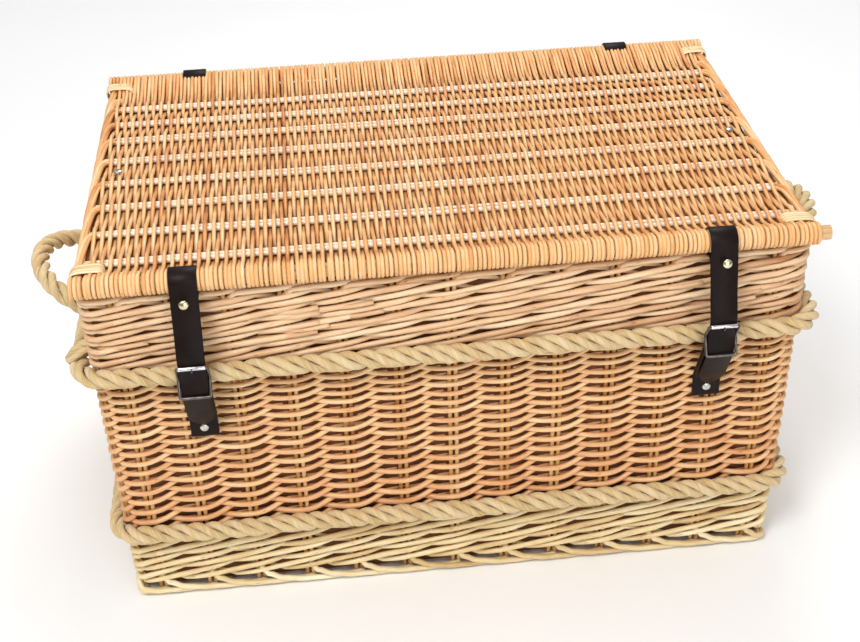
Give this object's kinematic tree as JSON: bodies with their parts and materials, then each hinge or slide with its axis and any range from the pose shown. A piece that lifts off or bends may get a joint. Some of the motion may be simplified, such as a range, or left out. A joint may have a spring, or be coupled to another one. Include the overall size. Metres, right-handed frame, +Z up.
{
  "type": "wicker storage trunk",
  "caption": "Rectangular woven willow storage trunk with a hinged woven lid, rope bands, rope end handles and leather straps with buckles.",
  "frame": {"origin": "centre of the base, on the floor", "axes": "+X along the length, -Y out of the front with the buckles, +Z up"},
  "size_m": [0.859, 0.4982, 0.4127],
  "materials": {
    "willow_buff": "buff willow, satin, woven",
    "willow_pale": "pale stripped willow, satin, woven",
    "willow_core": "willow stick with its bark, rough",
    "rope": "three-strand natural fibre rope",
    "dark_leather": "dark brown leather, waxed, stitched edges",
    "stay_leather": "blue-black leather",
    "steel": "nickel-plated steel",
    "brass": "pale brass rivet caps"
  },
  "bodies": {
    "basket": {"base_sticks": "willow_pale", "base_weave": "willow_buff", "foot_border": "willow_pale", "wall_stakes": "willow_pale", "foot_waling": "willow_pale", "wall_randing": "willow_buff", "upper_waling": "willow_pale", "rim_border": "willow_pale", "lower_rope": "rope", "upper_rope": "rope", "left_handle_ends": "rope", "right_handle_ends": "rope", "left_buckle_strap": "dark_leather", "right_buckle_strap": "dark_leather", "buckle_strap_rivets": "steel", "buckle_strap_washers": "dark_leather", "left_buckle_frame": "steel", "right_buckle_frame": "steel", "left_hinge_strap": "dark_leather", "right_hinge_strap": "dark_leather", "hinge_rivets": "steel", "left_stay_anchor": "stay_leather", "right_stay_anchor": "stay_leather", "stay_wall_rivets": "steel"},
    "lid": {"lid_front_rod": "willow_core", "lid_rear_rod": "willow_core", "lid_sticks": "willow_pale", "lid_weave": "willow_buff", "left_lid_border": "willow_buff", "right_lid_border": "willow_buff", "lid_corner_bindings": "willow_pale", "left_stay": "stay_leather", "right_stay": "stay_leather", "stay_lid_rivets": "steel"},
    "left_closing_strap": {"left_strap": "dark_leather", "left_strap_rivet": "brass"},
    "right_closing_strap": {"right_strap": "dark_leather", "right_strap_rivet": "brass"},
    "left_rope_handle": {"left_handle": "rope"},
    "right_rope_handle": {"right_handle": "rope"},
    "left_prong": {"left_buckle_prong": "steel"},
    "right_prong": {"right_buckle_prong": "steel"},
    "left_roller": {"left_buckle_roller": "steel"},
    "right_roller": {"right_buckle_roller": "steel"}
  },
  "joints": [
    {"name": "lid_hinge", "type": "hinge", "parent": "basket", "child": "lid", "pos_m": [0, 0.22, 0.399], "axis": [-1, 0, 0], "range_deg": [0, 105]},
    {"name": "left_strap_swing", "type": "hinge", "parent": "lid", "child": "left_closing_strap", "pos_m": [-0.247, -0.22, 0.399], "axis": [1, 0, 0], "range_deg": [0, 81.9]},
    {"name": "right_strap_swing", "type": "hinge", "parent": "lid", "child": "right_closing_strap", "pos_m": [0.256, -0.22, 0.399], "axis": [1, 0, 0], "range_deg": [0, 81.9]},
    {"name": "left_prong_swing", "type": "hinge", "parent": "basket", "child": "left_prong", "pos_m": [-0.247, -0.244, 0.308], "axis": [1, 0, 0], "range_deg": [0, 115.5]},
    {"name": "right_prong_swing", "type": "hinge", "parent": "basket", "child": "right_prong", "pos_m": [0.256, -0.244, 0.308], "axis": [1, 0, 0], "range_deg": [0, 115.5]},
    {"name": "left_handle_swing", "type": "hinge", "parent": "basket", "child": "left_rope_handle", "pos_m": [-0.366, 0, 0.28], "axis": [0, -1, 0], "range_deg": [0, 100]},
    {"name": "right_handle_swing", "type": "hinge", "parent": "basket", "child": "right_rope_handle", "pos_m": [0.366, 0, 0.28], "axis": [0, 1, 0], "range_deg": [0, 100]},
    {"name": "left_roller_spin", "type": "hinge", "parent": "basket", "child": "left_roller", "pos_m": [-0.247, -0.2559, 0.325], "axis": [1, 0, 0], "continuous": true},
    {"name": "right_roller_spin", "type": "hinge", "parent": "basket", "child": "right_roller", "pos_m": [0.256, -0.2559, 0.325], "axis": [1, 0, 0], "continuous": true}
  ],
  "couplings": [
    {"joint": "left_strap_swing", "follows": "lid_hinge", "ratio": 0.78},
    {"joint": "right_strap_swing", "follows": "lid_hinge", "ratio": 0.78},
    {"joint": "left_prong_swing", "follows": "lid_hinge", "ratio": 1.1},
    {"joint": "right_prong_swing", "follows": "lid_hinge", "ratio": 1.1}
  ]
}
